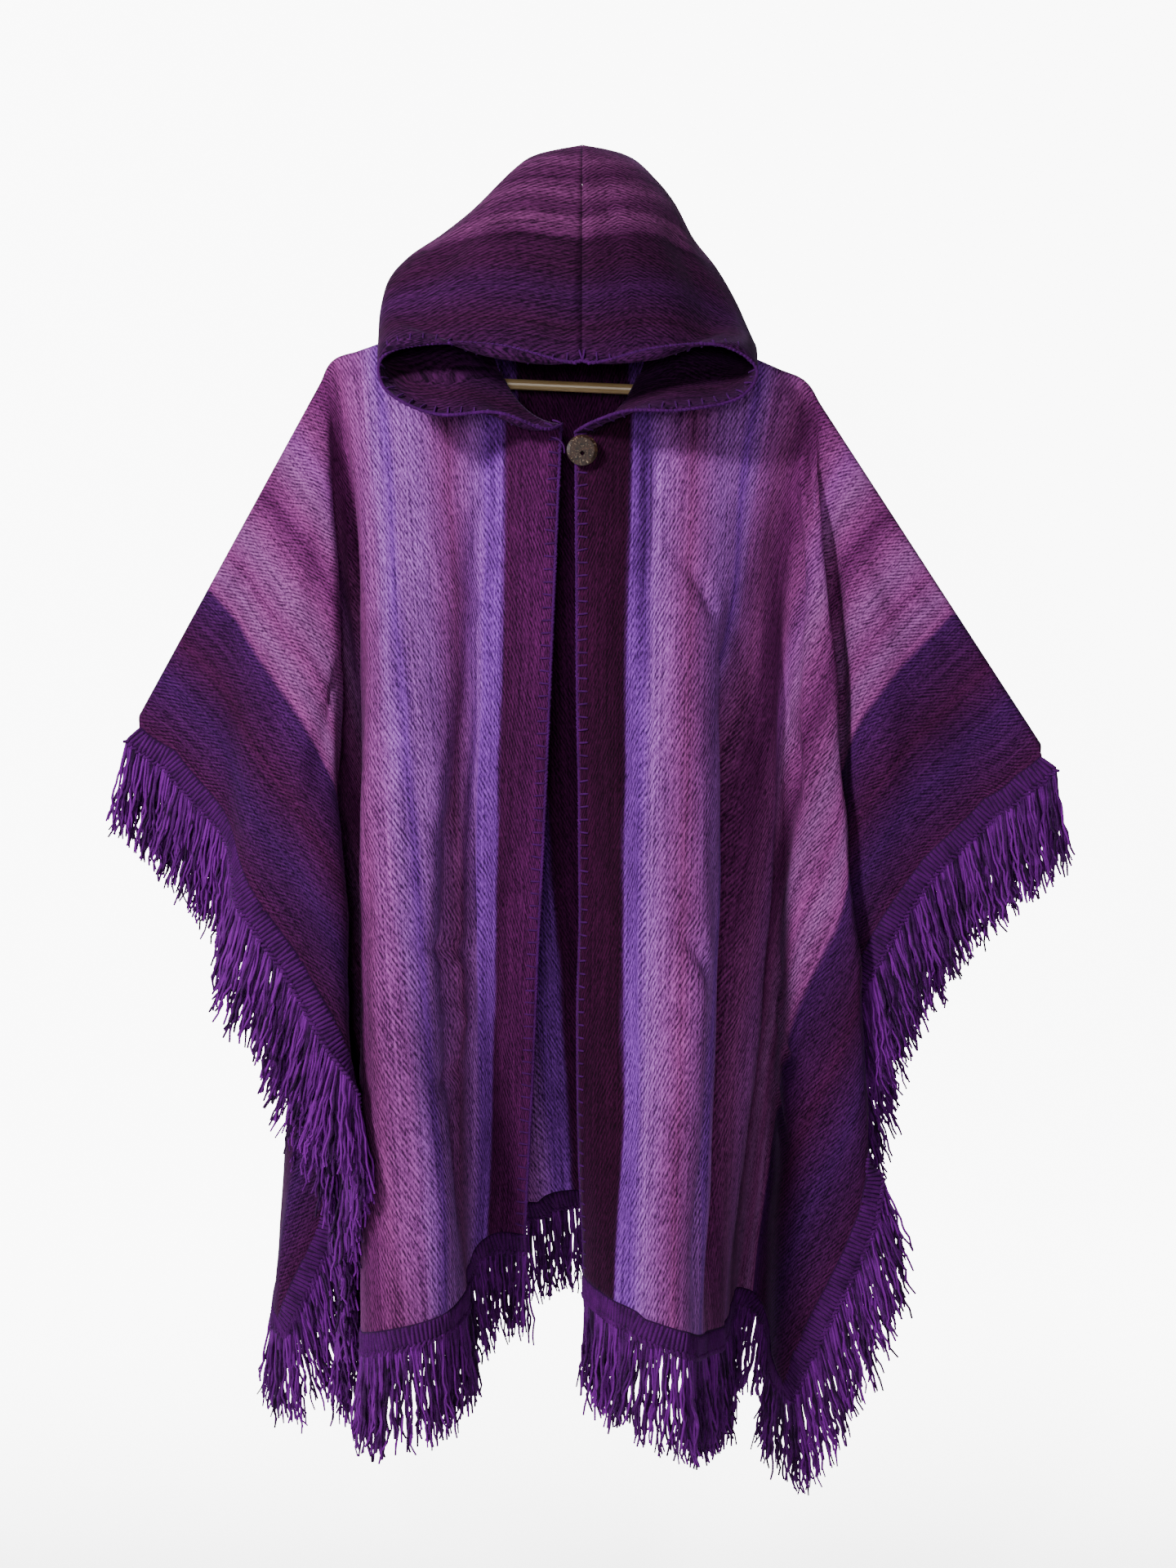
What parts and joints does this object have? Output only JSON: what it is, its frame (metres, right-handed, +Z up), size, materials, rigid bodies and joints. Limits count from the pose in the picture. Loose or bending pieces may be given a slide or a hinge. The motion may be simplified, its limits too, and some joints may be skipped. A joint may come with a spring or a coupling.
{
  "type": "hooded poncho on a hanger",
  "caption": "Hooded, open-fronted, fringed blanket poncho in striped twill, hanging on a wooden hanger with a trouser bar.",
  "frame": {"origin": "inner top of the hanger's hook, where the rail carries it", "axes": "+Z up, the front of the poncho faces -Y, +X to the viewer's right"},
  "size_m": [0.9293, 0.4286, 1.3282],
  "materials": {
    "striped_twill": "brushed, matt",
    "trim_yarn": "fuzzy yarn",
    "button_shell": "polished, etched",
    "hanger_wood": "satin varnish",
    "hook_wire": "bright"
  },
  "bodies": {
    "root": {"front_left": "striped_twill", "front_right": "striped_twill", "back": "striped_twill", "hood_left": "striped_twill", "hood_right": "striped_twill", "front_left_trim": "trim_yarn", "front_left_fringe": "trim_yarn", "front_right_trim": "trim_yarn", "front_right_fringe": "trim_yarn", "back_trim": "trim_yarn", "back_fringe": "trim_yarn", "button_loop": "trim_yarn", "button": "button_shell", "hanger_arms": "hanger_wood", "trouser_bar": "hanger_wood", "hook": "hook_wire"}
  },
  "joints": []
}
